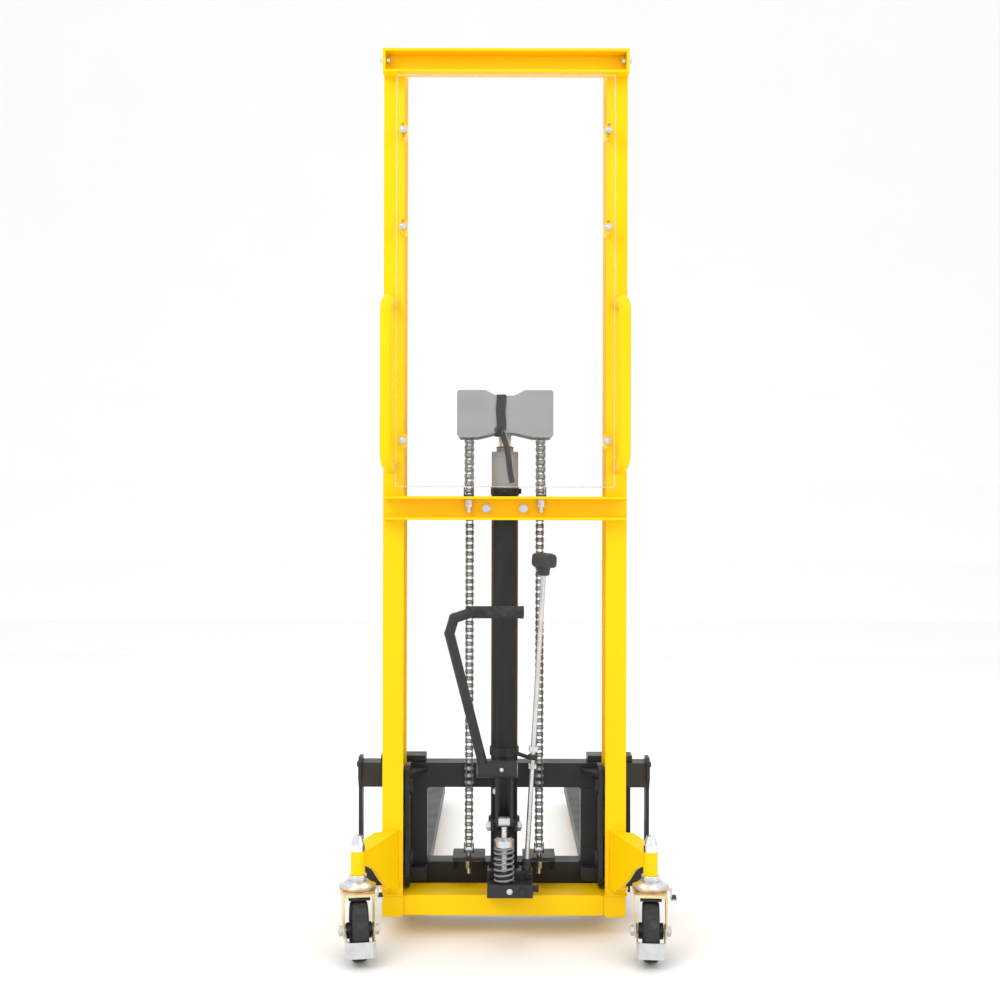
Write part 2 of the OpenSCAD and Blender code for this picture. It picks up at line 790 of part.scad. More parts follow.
module load_roller(side) from_mast() on_side(side) color(black) difference() {
    bar_x(load_roller_d, leg_offset - 22, leg_offset + 22, load_axle_y, load_roller_d / 2);
    bar_x(16.1, leg_offset - 23, leg_offset + 23, load_axle_y, load_roller_d / 2);
}

module load_roller_left() load_roller(-1);
module load_roller_right() load_roller(1);

// ---- casters: drawn about the swivel axis, y measured from it ----

module at_caster(side) from_mast() translate([side * caster_x, -caster_y, 0])
    rotate([0, 0, side < 0 ? turn_in_left : -turn_in_right])
        children();

module caster_fork(side) at_caster(side) color(gold_zinc) {
    translate([0, 0, 136]) cylinder(d = 74, h = 6);
    block([-34, -56, 136], [34, 18, 141.9]);
    for (s = [-1, 1])
        side_plate_shape(
            [
                [-58, 140], [18, 140], [17, 120], [-caster_trail + 16, wheel_r + 4],
                [-caster_trail + 12, wheel_r - 10], [-caster_trail, wheel_r - 16],
                [-caster_trail - 12, wheel_r - 10], [-caster_trail - 16, wheel_r + 4], [-58, 116]
            ],
            s * 32.75 - 1.75, s * 32.75 + 1.75
        );
    bar_rear(6, 14, 43, -31, 131.5);
    block([-34, 12, 128.6], [-28, 17.5, 136.5]);
    bar_x(12, -40, 40, -caster_trail, wheel_r);
    translate([35.2, -caster_trail, wheel_r]) rotate([0, 90, 0]) hex(19, 7);
    translate([-42.2, -caster_trail, wheel_r]) rotate([0, 90, 0]) hex(19, 7);
}

module caster_fork_left() caster_fork(-1);
module caster_fork_right() caster_fork(1);

module caster_hub(side) at_caster(side) color([0.2, 0.2, 0.21]) difference() {
    union() {
        bar_x(92, -16, 16, -caster_trail, wheel_r);
        bar_x(34, -25.5, 25.5, -caster_trail, wheel_r);
    }
    bar_x(12.1, -30, 30, -caster_trail, wheel_r);
    for (s = [-1, 1])
        translate([s * 16, -caster_trail, wheel_r])
            rotate([0, 90, 0])
                difference() {
                    cylinder(d = 80, h = 16, center = true);
                    cylinder(d = 46, h = 18, center = true);
                }
}

module caster_hub_left() caster_hub(-1);
module caster_hub_right() caster_hub(1);

module caster_tyre(side) at_caster(side) color(black) translate([0, -caster_trail, wheel_r])
    rotate([0, 90, 0])
        rotate_extrude()
            polygon([
                [46.1, -16.5], [54, -17.5], [wheel_r - 2, -15.5], [wheel_r, -12], [wheel_r, 12],
                [wheel_r - 2, 15.5], [54, 17.5], [46.1, 16.5]
            ]);

module caster_tyre_left() caster_tyre(-1);
module caster_tyre_right() caster_tyre(1);

// U-shaped guard that keeps the wheel off the operator's feet.
module foot_guard(side) at_caster(side) color(zinc) {
    back = -caster_trail - 68;
    difference() {
        for (s = [-1, 1])
            side_plate_shape(
                [
                    [back + 16, 23], [back + 16, 57], [-caster_trail - 18, wheel_r + 6],
                    [-caster_trail - 6, wheel_r + 15], [-caster_trail + 8, wheel_r + 14],
                    [-caster_trail + 15, wheel_r + 2], [-caster_trail + 10, wheel_r - 14],
                    [-caster_trail - 10, wheel_r - 26]
                ],
                s * 29.1 - 1.6, s * 29.1 + 1.6
            );
        bar_x(12.1, -40, 40, -caster_trail, wheel_r);
    }
    translate([0, 0, 23])
        linear_extrude(34)
            polygon([
                [-30.7, back + 16.1], [-30.7, back + 9], [-25, back], [25, back], [30.7, back + 9],
                [30.7, back + 16.1], [27.5, back + 16.1], [27.5, back + 10], [23, back + 3.4],
                [-23, back + 3.4], [-27.5, back + 10], [-27.5, back + 16.1]
            ]);
}

module foot_guard_left() foot_guard(-1);
module foot_guard_right() foot_guard(1);

// Pedal and shoe in one; both pedals point to +X.
module brake_lever(side) at_caster(side) color(zinc) difference() {
    union() {
        block([-22, -54, 130], [22, 40, 133]);
        block([-30, 22, 130], [47, 40, 133]);
        block([44, 22, 114], [47, 40, 131]);
        block([44, 12, 112], [57, 50, 115]);
        bar_rear(8.8, 22, 40, -31, 131.5);
    }
    bar_rear(6.1, 20, 42, -31, 131.5);
}

module brake_lever_left() brake_lever(-1);
module brake_lever_right() brake_lever(1);

// ---- nodes ----

upright_left();
upright_right();
top_beam();
mid_beam();
base_beam();
leg_left();
leg_right();
caster_bracket_left();
caster_bracket_right();
kingpin_left();
kingpin_right();
grab_handle_left();
grab_handle_right();
guard_panel();
frame_bolts();
lift_cylinder();
cylinder_gland();
cylinder_clamp();
mast_chain_anchors();
pump_block();
pump_spring();
pedal_bracket();
rod_guide();
ram_rod();
head_yoke();
head_guard();
head_strap();
lift_chain_left();
lift_chain_right();
sheave_left();
sheave_right();
upper_bar();
lower_bar();
side_plate_left();
side_plate_right();
carriage_posts();
carriage_anchors();
mast_roller_low_left();
mast_roller_low_right();
mast_roller_high_left();
mast_roller_high_right();
fork_left();
fork_right();
pedal_lever();
pedal_roller();
pump_plunger();
release_rod();
release_knob();
load_roller_left();
load_roller_right();
caster_fork_left();
caster_fork_right();
caster_hub_left();
caster_hub_right();
caster_tyre_left();
caster_tyre_right();
foot_guard_left();
foot_guard_right();
brake_lever_left();
brake_lever_right();
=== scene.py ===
"""Looks of the hand stacker: materials, hardware, chains, spring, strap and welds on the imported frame."""
import json
import math
import random

import bmesh
import bpy
from mathutils import Matrix, Vector


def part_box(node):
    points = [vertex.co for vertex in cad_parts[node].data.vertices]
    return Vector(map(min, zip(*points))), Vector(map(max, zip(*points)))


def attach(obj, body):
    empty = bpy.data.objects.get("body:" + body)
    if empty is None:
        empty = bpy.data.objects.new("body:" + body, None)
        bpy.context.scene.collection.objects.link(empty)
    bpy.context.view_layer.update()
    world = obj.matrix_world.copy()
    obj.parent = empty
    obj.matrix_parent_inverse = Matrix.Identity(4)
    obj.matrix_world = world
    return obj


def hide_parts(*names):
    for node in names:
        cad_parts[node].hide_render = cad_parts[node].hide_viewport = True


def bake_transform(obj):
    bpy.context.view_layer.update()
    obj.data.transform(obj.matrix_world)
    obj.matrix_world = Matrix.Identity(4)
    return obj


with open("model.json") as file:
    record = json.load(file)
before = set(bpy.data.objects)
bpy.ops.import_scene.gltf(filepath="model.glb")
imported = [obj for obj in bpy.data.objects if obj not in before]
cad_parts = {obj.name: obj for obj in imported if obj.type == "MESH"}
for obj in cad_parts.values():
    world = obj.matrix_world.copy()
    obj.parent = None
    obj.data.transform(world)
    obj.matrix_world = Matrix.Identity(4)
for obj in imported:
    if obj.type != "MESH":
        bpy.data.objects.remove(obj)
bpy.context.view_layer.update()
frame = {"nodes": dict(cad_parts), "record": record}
nodes = frame["nodes"]
random.seed(7)

PITCH = 0.015875                                # roller chain
WHEEL = PITCH / (2 * math.sin(math.radians(9)))  # pitch radius of a chain wheel with 20 teeth
STRAND = 61                                     # links on the carriage's side of each wheel
LIFT = 0.690                                    # travel of the ram, and of the carriage on it
SIDES = (("left", -1), ("right", 1))
TURN_IN = {"left": math.radians(10), "right": math.radians(-5)}    # how each caster stands
FORK_X = {"left": -234.5, "right": 246.5}       # middle of each fork, in millimetres
ROLLER_X = 246.5                                # middle of each load roller, in millimetres
CASTER_X, CASTER_Y = 0.314, 0.108               # swivel axis: off the middle, behind the mast
TRAIL, AXLE_Z = 0.038, 0.0625                   # caster wheel's axle: behind the swivel axis, height
LEVER_LEAN = math.radians(21.66)                # foot lever from upright


def mid(node):
    """Centre of a CAD node's box."""
    low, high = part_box(node)
    return (Vector(low) + Vector(high)) / 2


MAST_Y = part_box("top_beam")[1][1]      # rear face of the uprights


# ---- camera, light, floor ----

def make_camera():
    data = bpy.data.cameras.new("camera")
    data.lens, data.sensor_width = 49.2, 36
    camera = bpy.data.objects.new("camera", data)
    camera.location = (-0.011, MAST_Y - 3.04, 0.974)
    camera.rotation_euler = (math.pi / 2, math.radians(-0.15), 0)
    bpy.context.scene.collection.objects.link(camera)
    bpy.context.scene.camera = camera


def make_light(name, place, target, size, power):
    data = bpy.data.lights.new(name, "AREA")
    data.shape, data.size, data.size_y, data.energy = "RECTANGLE", size[0], size[1], power
    light = bpy.data.objects.new(name, data)
    light.location = place
    aim = Vector(target) - Vector(place)
    light.rotation_euler = aim.to_track_quat("-Z", "Y").to_euler()
    bpy.context.scene.collection.objects.link(light)


def make_studio():
    world = bpy.data.worlds.new("studio")
    bpy.context.scene.world = world
    world.use_nodes = True
    back = world.node_tree.nodes["Background"]
    back.inputs["Color"].default_value = (1.0, 1.0, 1.0, 1)
    back.inputs["Strength"].default_value = 1.02
    bpy.context.scene.view_settings.view_transform = "Standard"
    make_light("key", (-2.6, -3.4, 3.6), (0, -0.3, 0.9), (2.2, 2.2), 60)
    make_light("fill", (3.0, -3.0, 2.4), (0, -0.3, 0.9), (2.4, 2.4), 26)
    make_light("top", (0, 0.4, 4.4), (0, 0, 0.6), (3.0, 3.0), 40)
    floor = mesh_piece("floor", *grid_floor())
    floor.data.materials.append(floor_material())


def grid_floor():
    """A floor that curves up into a far wall."""
    rows = [(-14, 0), (5, 0)]
    rows += [(5 + 3 * math.sin(a), 3 - 3 * math.cos(a)) for a in (0.3, 0.6, 0.9, 1.2, math.pi / 2)]
    rows += [(8, 12)]
    verts = [(x, y, z) for y, z in rows for x in (-14, 14)]
    faces = [(2 * k, 2 * k + 1, 2 * k + 3, 2 * k + 2) for k in range(len(rows) - 1)]
    return verts, faces


# ---- mesh helpers ----

def mesh_piece(name, verts, faces, smooth=False):
    mesh = bpy.data.meshes.new(name)
    mesh.from_pydata([tuple(v) for v in verts], [], faces)
    mesh.validate()
    piece = bpy.data.objects.new(name, mesh)
    bpy.context.scene.collection.objects.link(piece)
    if smooth:
        for face in mesh.polygons:
            face.use_smooth = True
    return piece


class Build:
    """Collects shapes for one piece."""

    def __init__(self):
        self.verts, self.faces, self.smooth = [], [], []

    def add(self, verts, faces, smooth=False):
        base = len(self.verts)
        self.verts += [Vector(v) for v in verts]
        self.faces += [tuple(base + i for i in face) for face in faces]
        self.smooth += [smooth] * len(faces)

    def lathe(self, profile, place, axis=(0, 0, 1), steps=32, squeeze=None):
        """Turns (radius, height) pairs about an axis; squeeze(angle) scales the radius."""
        turn = Vector(axis).to_track_quat("Z", "Y").to_matrix()
        place, verts, faces = Vector(place), [], []
        for r, h in profile:
            for k in range(steps):
                a = 2 * math.pi * k / steps
                s = squeeze(a) if squeeze else 1
                verts.append(place + turn @ Vector((r * s * math.cos(a), r * s * math.sin(a), h)))
        for j in range(len(profile) - 1):
            for k in range(steps):
                n = (k + 1) % steps
                faces.append((j * steps + k, j * steps + n, (j + 1) * steps + n, (j + 1) * steps + k))
        if profile[0][0] > 1e-6:
            faces.append(tuple(reversed(range(steps))))
        if profile[-1][0] > 1e-6:
            faces.append(tuple(range((len(profile) - 1) * steps, len(profile) * steps)))
        self.add(verts, faces, True)

    def tube(self, path, radius, steps=10, closed=False):
        """Sweeps a circle along points; radius is a number or one number for each point."""
        path = [Vector(p) for p in path]
        radii = radius if isinstance(radius, (list, tuple)) else [radius] * len(path)
        verts, faces, side = [], [], None
        for i, p in enumerate(path):
            ahead = path[(i + 1) % len(path)] if closed or i + 1 < len(path) else p
            behind = path[i - 1] if closed or i else p
            way = (ahead - behind).normalized()
            if side is None:
                side = way.orthogonal().normalized()
            side = (side - way * side.dot(way)).normalized()
            up = way.cross(side)
            for k in range(steps):
                a = 2 * math.pi * k / steps
                verts.append(p + (side * math.cos(a) + up * math.sin(a)) * radii[i])
        for i in range(len(path) if closed else len(path) - 1):
            j = (i + 1) % len(path)
            for k in range(steps):
                n = (k + 1) % steps
                faces.append((i * steps + k, i * steps + n, j * steps + n, j * steps + k))
        if not closed:
            faces.append(tuple(reversed(range(steps))))
            faces.append(tuple(range((len(path) - 1) * steps, len(path) * steps)))
        self.add(verts, faces, True)

    def prism(self, outline, low, high, matrix):
        """Straight extrusion of a closed (x, y) outline from low to high, then placed."""
        n = len(outline)
        verts = [matrix @ Vector((x, y, z)) for z in (low, high) for x, y in outline]
        faces = [tuple(reversed(range(n))), tuple(range(n, 2 * n))]
        faces += [(k, (k + 1) % n, n + (k + 1) % n, n + k) for k in range(n)]
        self.add(verts, faces)

    def slab(self, low, high):
        """Box between two corners given in millimetres from the mast's rear face."""
        a, b = at(*low), at(*high)
        outline = [(a.x, a.y), (b.x, a.y), (b.x, b.y), (a.x, b.y)]
        self.prism(outline, a.z, b.z, Matrix.Identity(4))

    def spin(self, centre, angle):
        """Turns everything built so far about a vertical axis."""
        turn = Matrix.Rotation(angle, 4, "Z")
        self.verts = [centre + turn @ (v - centre) for v in self.verts]

    def make(self, name, material, body=None, slot=None):
        piece = mesh_piece(name, self.verts, self.faces)
        for face, smooth in zip(piece.data.polygons, self.smooth):
            face.use_smooth = smooth
        sharp = bmesh.new()
        sharp.from_mesh(piece.data)
        bmesh.ops.recalc_face_normals(sharp, faces=sharp.faces)
        for edge in sharp.edges:
            if len(edge.link_faces) == 2 and edge.calc_face_angle(0) > math.radians(38):
                edge.smooth = False
        sharp.to_mesh(piece.data)
        sharp.free()
        piece.data.materials.append(material)
        if body:
            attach(piece, body)
        return piece


# ---- materials ----

class Nodes:
    """Short calls for building one node material."""

    def __init__(self, name):
        self.material = bpy.data.materials.new(name)
        self.material.use_nodes = True
        self.tree = self.material.node_tree
        self.shader = self.tree.nodes["Principled BSDF"]
        self.place = self.add("ShaderNodeTexCoord").outputs["Object"]

    def add(self, kind, **inputs):
        node = self.tree.nodes.new(kind)
        for key, value in inputs.items():
            self.put(node.inputs[key.replace("_", " ")], value)
        return node

    def put(self, socket, value):
        if isinstance(value, bpy.types.NodeSocket):
            self.tree.links.new(value, socket)
        else:
            socket.default_value = value

    def set(self, **inputs):
        for key, value in inputs.items():
            self.put(self.shader.inputs[key.replace("_", " ")], value)

    def noise(self, scale, detail=3, stretch=(1, 1, 1), rough=0.5):
        mapping = self.add("ShaderNodeMapping", Vector=self.place, Scale=stretch)
        return self.add(
            "ShaderNodeTexNoise", Vector=mapping.outputs[0], Scale=scale, Detail=detail, Roughness=rough
        ).outputs["Fac"]

    def remap(self, value, low, high, to_low, to_high):
        node = self.add("ShaderNodeMapRange")
        node.clamp = True
        for k, item in enumerate((value, low, high, to_low, to_high)):
            self.put(node.inputs[k], item)
        return node.outputs[0]

    def mix(self, factor, a, b):
        node = self.add("ShaderNodeMix")
        node.data_type = "RGBA"
        self.put(node.inputs[0], factor)
        self.put(node.inputs[6], a)
        self.put(node.inputs[7], b)
        return node.outputs[2]

    def math(self, kind, a, b=0.0):
        node = self.add("ShaderNodeMath")
        node.operation = kind
        self.put(node.inputs[0], a)
        self.put(node.inputs[1], b)
        return node.outputs[0]

    def rounded(self, radius):
        """Normal with softened edges, and a mask that is 1 on the edges."""
        bevel = self.add("ShaderNodeBevel", Radius=radius)
        bevel.samples = 4
        flat = self.add("ShaderNodeNewGeometry").outputs["True Normal"]
        dot = self.add("ShaderNodeVectorMath")
        dot.operation = "DOT_PRODUCT"
        self.put(dot.inputs[0], bevel.outputs[0])
        self.put(dot.inputs[1], flat)
        return bevel.outputs[0], self.remap(dot.outputs["Value"], 0.995, 0.90, 0.0, 1.0)

    def bump(self, height, strength, distance, normal=None):
        node = self.add("ShaderNodeBump", Strength=strength, Distance=distance, Height=height)
        if normal is not None:
            self.put(node.inputs["Normal"], normal)
        self.set(Normal=node.outputs[0])


def rgb(r, g, b):
    return (r, g, b, 1)


def paint(name, colour, deep, worn, rough, grain, gloss=0.3):
    """Sprayed paint: orange peel, slight drift in tone, fine specks of the worn colour, worn edges."""
    n = Nodes(name)
    normal, edge = n.rounded(0.0016)
    tone = n.mix(n.remap(n.noise(2.2, 4), 0.35, 0.7, 0.0, 1.0), colour, deep)
    chips = n.math("MULTIPLY", edge, n.remap(n.noise(55, 5, rough=0.7), 0.52, 0.66, 0.0, 0.75))
    speck = n.remap(n.noise(420, 2), 0.70, 0.76, 0.0, 0.35)
    tone = n.mix(speck, tone, worn)
    n.set(Base_Color=n.mix(chips, tone, worn))
    n.set(Roughness=n.remap(n.noise(14, 5), 0.3, 0.75, rough - 0.07, rough + 0.12))
    n.set(Specular_IOR_Level=gloss)
    n.bump(n.noise(grain, 2), 0.10, 0.0006, normal)
    return n.material


def metal(name, colour, stain, rough, stretch=(1, 1, 1), grain=260, tarnish=0.5):
    """Plated or turned metal: fine lines, cloudy tone, darker stains in patches, and every edge painted paler as
    a painted highlight.
    """
    n = Nodes(name)
    normal, edge = n.rounded(0.0010)
    cloud = n.remap(n.noise(38, 6, rough=0.65), 0.42, 0.72, 0.0, tarnish)
    tone = n.mix(cloud, colour, stain)
    # painted highlight: every edge is painted near white
    n.set(Base_Color=n.mix(n.math("MULTIPLY", edge, 0.35), tone, rgb(0.95, 0.95, 0.94)))
    n.set(Metallic=1.0, Roughness=n.remap(n.noise(90, 4), 0.3, 0.7, rough - 0.06, rough + 0.14))
    n.bump(n.noise(grain, 3, stretch), 0.12, 0.0004, normal)
    return n.material


def barrel_with_painted_haze():
    """Black cylinder whose top, behind the clear panel, is painted pale grey: painted light standing in for the
    haze the panel lays over it.
    """
    n = Nodes("lift cylinder paint")
    normal, edge = n.rounded(0.0016)
    height = n.add("ShaderNodeSeparateXYZ", Vector=n.add("ShaderNodeNewGeometry").outputs["Position"])
    # painted light: from the panel's lower edge up, the black is painted pale grey to stand in for the panel's
    # haze
    painted_haze_mask = n.remap(height.outputs["Z"], 0.999, 1.004, 0.0, 1.0)
    drift = n.remap(n.noise(2.2, 4), 0.35, 0.7, 0.0, 1.0)
    black = n.mix(drift, rgb(0.011, 0.011, 0.012), rgb(0.017, 0.017, 0.018))
    # painted haze: the pale grey that stands in for the panel's veil of light
    painted_haze_grey = n.mix(n.noise(9, 5), rgb(0.25, 0.25, 0.252), rgb(0.32, 0.32, 0.322))
    tone = n.mix(painted_haze_mask, black, painted_haze_grey)
    # painted highlight: every edge is painted lighter grey
    n.set(Base_Color=n.mix(n.math("MULTIPLY", edge, 0.2), tone, rgb(0.2, 0.2, 0.2)), Specular_IOR_Level=0.3)
    n.set(Roughness=n.remap(n.noise(14, 5), 0.3, 0.75, 0.35, 0.52))
    n.bump(n.noise(900, 2), 0.10, 0.0006, normal)
    return n.material


def plated_yellow():
    """Yellow chromate zinc: gold drifting into pink and green films, and every edge painted paler as a painted
    highlight.
    """
    n = Nodes("yellow zinc plate")
    normal, edge = n.rounded(0.0010)
    gold = n.mix(n.remap(n.noise(24, 4), 0.38, 0.62, 0, 1), rgb(0.78, 0.60, 0.27), rgb(0.83, 0.74, 0.50))
    film = n.mix(n.remap(n.noise(33, 3), 0.55, 0.72, 0, 0.6), gold, rgb(0.80, 0.45, 0.42))
    film = n.mix(n.remap(n.noise(41, 3), 0.60, 0.76, 0, 0.5), film, rgb(0.50, 0.72, 0.48))
    # painted highlight: every edge is painted pale cream
    n.set(Base_Color=n.mix(n.math("MULTIPLY", edge, 0.4), film, rgb(0.9, 0.88, 0.82)))
    n.set(Metallic=1.0, Roughness=n.remap(n.noise(80, 4), 0.3, 0.7, 0.26, 0.44))
    n.bump(n.noise(300, 3), 0.1, 0.0004, normal)
    return n.material


def plastic(name, colour, deep, rough, grain=1400, bump=0.25):
    """Moulded plastic: fine spark-eroded grain, faint flow marks, scuffed edges."""
    n = Nodes(name)
    normal, edge = n.rounded(0.0012)
    tone = n.mix(n.remap(n.noise(9, 4, (1, 1, 3)), 0.35, 0.7, 0, 1), colour, deep)
    scuff = n.math("MULTIPLY", edge, n.remap(n.noise(130, 4), 0.45, 0.65, 0, 0.5))
    n.set(Base_Color=n.mix(scuff, tone, rgb(*(min(1, c * 1.6 + 0.05) for c in colour[:3]))))
    n.set(Roughness=n.remap(n.noise(30, 4), 0.3, 0.7, rough - 0.06, rough + 0.1))
    n.bump(n.noise(grain, 2), bump, 0.0003, normal)
    return n.material


def rubber(name):
    """Tyre: near-black, matt, with grey dust and fine scuffs on the tread."""
    n = Nodes(name)
    normal, _ = n.rounded(0.0012)
    dust = n.remap(n.noise(46, 6, rough=0.7), 0.50, 0.78, 0, 0.55)
    n.set(Base_Color=n.mix(dust, rgb(0.018, 0.018, 0.019), rgb(0.10, 0.095, 0.09)))
    n.set(Roughness=n.remap(n.noise(70, 3), 0.3, 0.7, 0.62, 0.86))
    n.bump(n.noise(900, 4), 0.35, 0.0005, normal)
    return n.material


def webbing():
    """Woven strap: crossed yarns a little over a millimetre apart."""
    n = Nodes("webbing")
    waves = []
    for way in ("X", "Z"):
        wave = n.add("ShaderNodeTexWave", Vector=n.place, Scale=260, Distortion=0.6, Detail=2)
        wave.bands_direction = way
        waves.append(wave.outputs["Fac"])
    weave = n.math("MAXIMUM", waves[0], waves[1])
    n.set(Base_Color=n.mix(weave, rgb(0.003, 0.003, 0.003), rgb(0.014, 0.014, 0.015)))
    n.set(Roughness=0.85, Sheen_Weight=0.04, Specular_IOR_Level=0.15)
    n.bump(weave, 0.6, 0.0006)
    return n.material


def clear_panel():
    """Clear sheet: see-through at the uprights, milky between them, fine wipe marks in its gloss."""
    n = Nodes("clear panel")
    tree = n.tree
    spot = n.add("ShaderNodeSeparateXYZ", Vector=n.add("ShaderNodeNewGeometry").outputs["Position"])
    middle = n.remap(n.math("ABSOLUTE", spot.outputs["X"]), 0.219, 0.223, 1.0, 0.12)
    haze = n.remap(n.noise(3.0, 5), 0.3, 0.75, 0.022, 0.032)
    marks = n.remap(n.noise(60, 4, (1, 1, 0.15)), 0.45, 0.7, 0.0, 0.012)
    n.set(Base_Color=rgb(0.95, 0.95, 0.95), Roughness=0.16, Alpha=1.0)
    n.set(Specular_IOR_Level=0.1)
    clear = n.add("ShaderNodeBsdfTransparent", Color=rgb(0.995, 0.995, 0.995))
    blend = n.add("ShaderNodeMixShader")
    tree.links.new(n.math("MULTIPLY", middle, n.math("ADD", haze, marks)), blend.inputs[0])
    tree.links.new(clear.outputs[0], blend.inputs[1])
    tree.links.new(n.shader.outputs[0], blend.inputs[2])
    tree.links.new(blend.outputs[0], tree.nodes["Material Output"].inputs[0])
    return n.material


def floor_material():
    n = Nodes("floor")
    n.set(Base_Color=n.mix(n.noise(1.5, 3), rgb(0.92, 0.92, 0.92), rgb(0.94, 0.94, 0.94)))
    n.set(Roughness=0.6)
    return n.material


YELLOW = paint(
    "yellow powder coat", rgb(1.0, 0.63, 0.001), rgb(0.97, 0.59, 0.001), rgb(0.80, 0.50, 0.02), 0.34, 700, 0.14
)
BLACK = paint("black paint", rgb(0.022, 0.022, 0.023), rgb(0.032, 0.032, 0.033), rgb(0.11, 0.11, 0.11), 0.42, 900)
GREY_PAINT = paint("grey paint", rgb(0.27, 0.27, 0.275), rgb(0.22, 0.22, 0.225), rgb(0.4, 0.4, 0.4), 0.45, 800)
ZINC = metal("zinc plate", rgb(0.66, 0.67, 0.69), rgb(0.42, 0.43, 0.45), 0.30)
CHROME = metal("chrome", rgb(0.80, 0.81, 0.83), rgb(0.62, 0.63, 0.66), 0.12, tarnish=0.25)
CHAIN = metal("oiled chain steel", rgb(0.16, 0.155, 0.15), rgb(0.05, 0.048, 0.045), 0.34, tarnish=0.9)
PIN = metal("chain pin steel", rgb(0.42, 0.41, 0.40), rgb(0.20, 0.19, 0.18), 0.28)
GOLD = plated_yellow()
SHELL = plastic("grey head cover", rgb(0.29, 0.29, 0.292), rgb(0.25, 0.25, 0.252), 0.55)
NYLON = plastic("black nylon", rgb(0.022, 0.022, 0.023), rgb(0.032, 0.032, 0.033), 0.48)
TYRE = rubber("tyre rubber")
STRAP = webbing()
BARREL = barrel_with_painted_haze()
BRASS = metal("brass race", rgb(0.80, 0.40, 0.13), rgb(0.55, 0.26, 0.08), 0.30)
CLEAR = clear_panel()
BY_SLOT = {
    "yellow_paint": YELLOW, "black_paint": BLACK, "zinc_steel": ZINC, "yellow_zinc": GOLD,
    "chrome_steel": CHROME, "grey_steel": GREY_PAINT, "grey_plastic": SHELL, "clear_guard": CLEAR,
    "webbing": STRAP, "chain_steel": CHAIN, "black_plastic": NYLON, "tyre_rubber": TYRE,
}


def dress_cad_nodes():
    slots = {s["node"]: s["material_slot"] for s in frame["record"]["subparts"]}
    for name, piece in nodes.items():
        piece.data.materials.clear()
        piece.data.materials.append(BARREL if name == "lift_cylinder" else BY_SLOT[slots[name]])


# ---- pieces ----

def at(x, y, z):
    """A point given in millimetres from the mast's rear face, in the part's frame."""
    return Vector((x / 1000, MAST_Y + y / 1000, z / 1000))


ROD_FOOT, ROD_HEAD = at(50, -12, 170), at(84.5, -60, 818)      # release rod


def up_lever(distance):
    """A point on the foot lever's middle line, so far from its pivot."""
    return at(0, -5, 250) + Vector((0, -math.sin(LEVER_LEAN), math.cos(LEVER_LEAN))) * distance


def weld(build, points, size=0.0032):
    """A weld bead: a tube along the joint whose thickness ripples."""
    path = []
    for a, b in zip(points, points[1:]):
        steps = max(2, int((b - a).length / 0.0035))
        path += [a.lerp(b, k / steps) for k in range(steps)]
    path.append(points[-1])
    radii = [size * (1.0 + 0.16 * math.sin(k * 1.9) + 0.08 * random.random()) for k in range(len(path))]
    build.tube(path, radii, 8)


def mast_welds():
    build = Build()
    for _, s in SIDES:
        for low, high in ((930, 981), (1914, 1966)):
            weld(build, [at(s * 225, -0.5, low + 3), at(s * 225, -0.5, high - 8)])
        weld(build, [at(s * 218.5, -0.4, 95), at(s * 218.5, -0.4, 52)])
        weld(build, [at(s * 226, 0, 95.3), at(s * 270, 0, 95.3)])
        weld(build, [at(s * 271.3, 0, 96), at(s * 271.3, 110, 96)])
        for z in (1048.5, 1411.5):
            ring = [
                at(s * 250 + 13.9 * math.cos(a), -0.5, z + 13.9 * math.sin(a))
                for a in [k * math.pi / 12 for k in range(25)]
            ]
            weld(build, ring, 0.0026)
        for x in (231.8, 244.6):
            weld(build, [at(s * x, -1, 116), at(s * x, -1, 236)])
    build.make("weld_beads_mast", YELLOW, "mast", "yellow_paint")


def carriage_welds():
    build = Build()
    for _, s in SIDES:
        for x in (178, 222):
            for z in (135.5, 307.5):
                weld(build, [at(s * x, 131, z), at(s * x, 178, z)])
        for z in (110, 320):
            weld(build, [at(s * 212.6, 129.6, z), at(s * 212.6, 129.6, z + 24)])
        for x in (46, 114):
            weld(build, [at(s * x, 130, 122), at(s * x, 130, 150)], 0.0025)
    build.make("weld_beads_carriage", BLACK, "carriage", "black_paint")
    for side, _ in SIDES:
        build = Build()
        for x in (FORK_X[side] - 46.7, FORK_X[side] + 46.7):
            weld(build, [at(x, 199, 90.5), at(x, 262, 90.5)], 0.0028)
            weld(build, [at(x, 197.8, 92), at(x, 197.8, 236)], 0.0028)
        build.make("weld_beads_fork_" + side, BLACK, "fork_" + side, "black_paint")


def hex_outline(across):
    return [
        (across / math.sqrt(3) * math.cos(k * math.pi / 3), across / math.sqrt(3) * math.sin(k * math.pi / 3))
        for k in range(6)
    ]


def facing(place, axis):
    return Matrix.Translation(place) @ Vector(axis).to_track_quat("Z", "Y").to_matrix().to_4x4()


def bolt(build, place, axis, across, height):
    """Hex head with a domed top and a washer under it, all in metres."""
    r = across / 2
    build.lathe([(r * 1.45, 0), (r * 1.5, 0.0006), (r * 1.42, 0.0017), (r * 0.9, 0.0017)], place, axis, 28)
    build.prism(hex_outline(across), 0.0016, height * 0.86, facing(place, axis))
    build.lathe(
        [(r * 0.98, height * 0.84), (r * 0.93, height * 0.94), (r * 0.72, height), (0.0, height)],
        place, axis, 24,
    )


